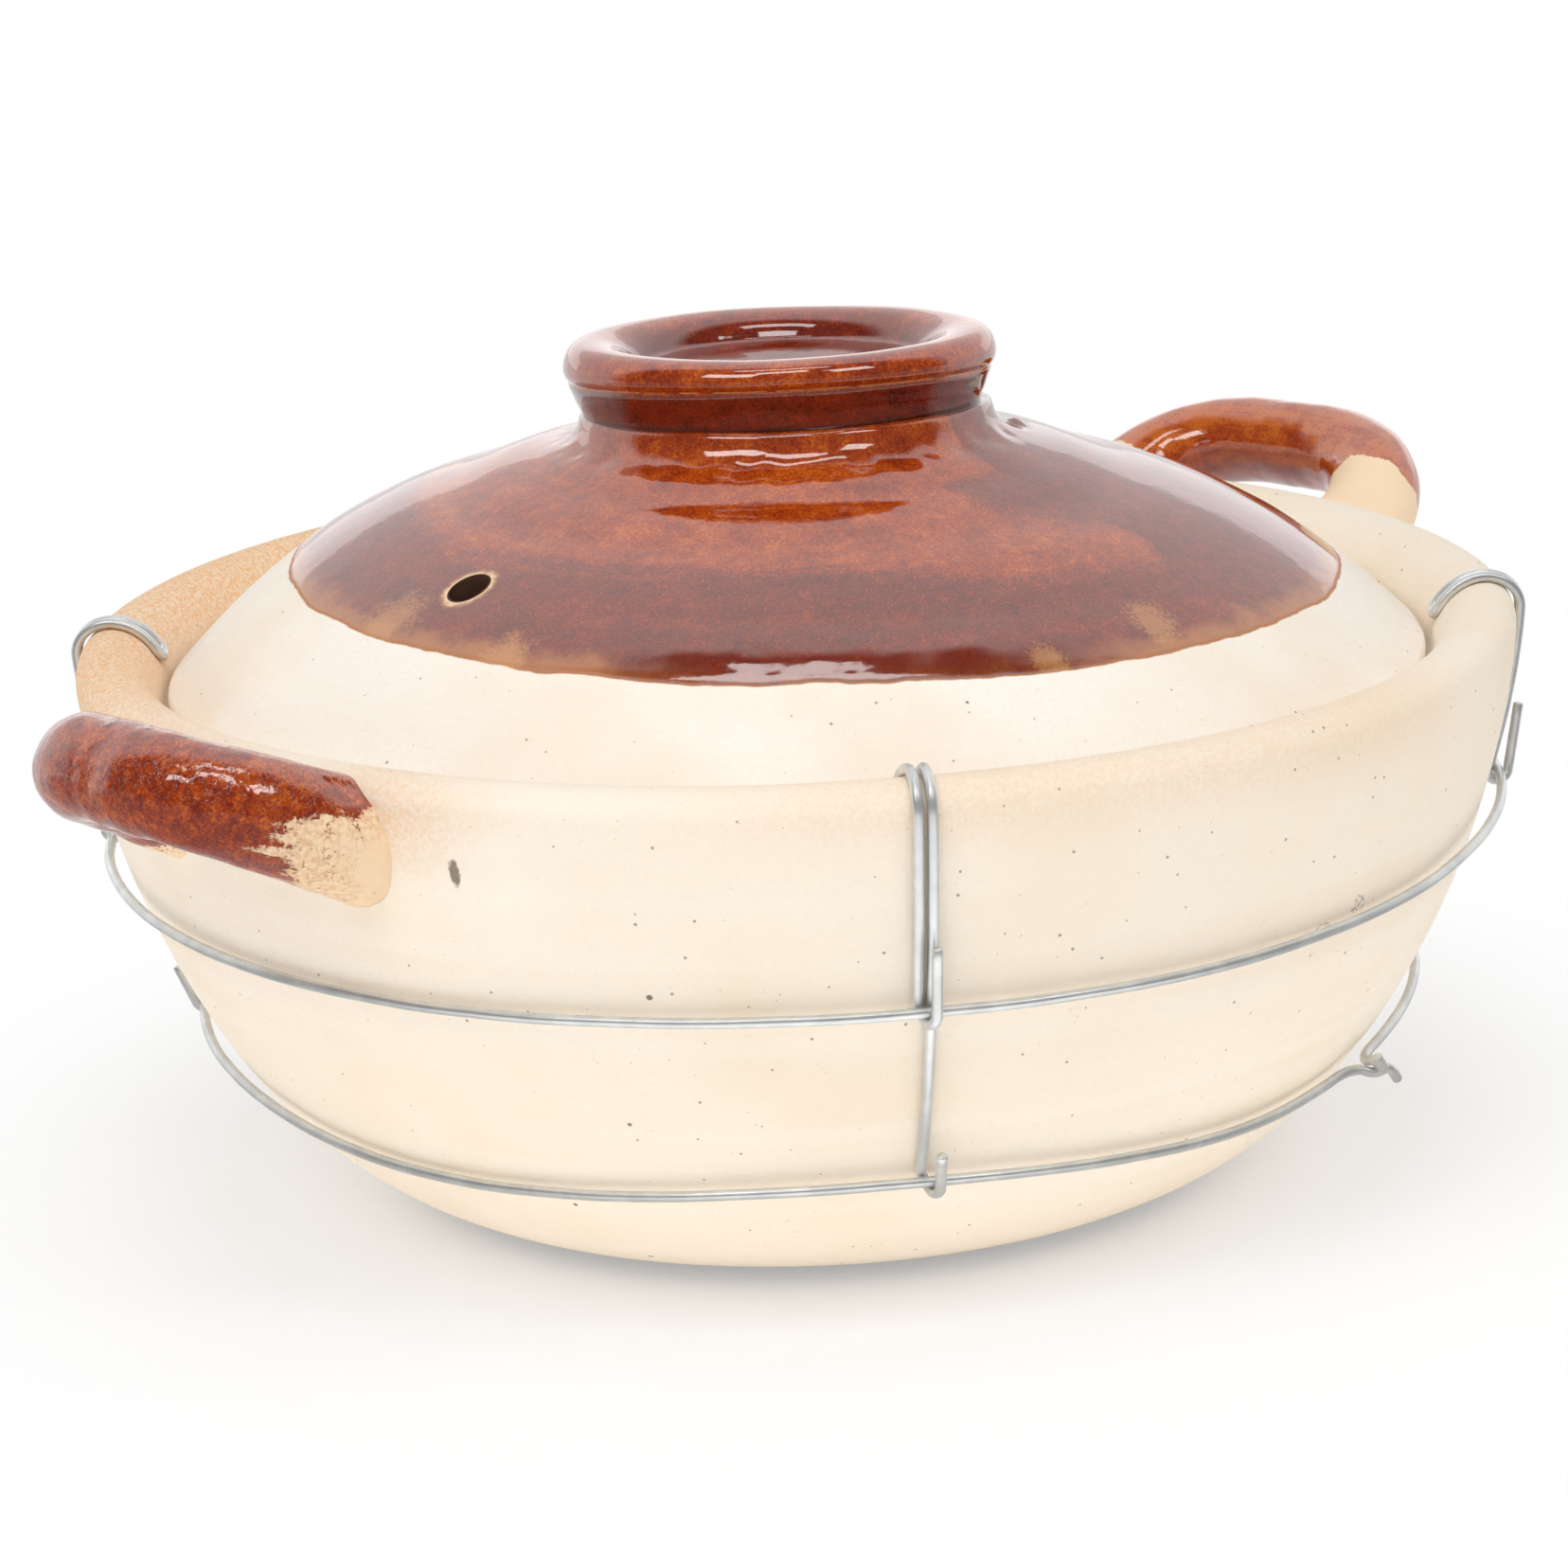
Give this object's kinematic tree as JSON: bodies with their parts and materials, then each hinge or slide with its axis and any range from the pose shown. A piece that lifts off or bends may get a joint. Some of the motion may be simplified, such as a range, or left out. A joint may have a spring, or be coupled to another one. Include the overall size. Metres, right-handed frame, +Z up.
{
  "type": "lidded clay cooking pot",
  "caption": "Round earthenware cooking pot with a glazed domed lid, ring knob, looped lug handles and a wire cage hooked over the rim, for slow stovetop cooking.",
  "frame": {"origin": "centre of the flat foot, on the stove or table", "axes": "+X towards the right handle, the handles lie near the X axis; +Z up along the pot's axis"},
  "size_m": [0.3128, 0.2546, 0.1489],
  "materials": {
    "bare_clay": "unglazed, matt, cream",
    "brown_glaze": "glossy mottled brown glaze",
    "galvanised_wire": "satin galvanised"
  },
  "bodies": {
    "pot": {"pot_body": "bare_clay", "handle_left": "brown_glaze", "handle_right": "brown_glaze", "upper_hoop": "galvanised_wire", "lower_hoop": "galvanised_wire", "rim_tie_front": "galvanised_wire", "rim_tie_right": "galvanised_wire", "rim_tie_back": "galvanised_wire", "rim_tie_left": "galvanised_wire"},
    "lid": {"lid_dome": "brown_glaze", "lid_knob": "brown_glaze"}
  },
  "joints": [
    {"name": "lid_lift", "type": "slide", "parent": "pot", "child": "lid", "axis": [0, 0, 1], "range_m": [0, 0.15]}
  ]
}
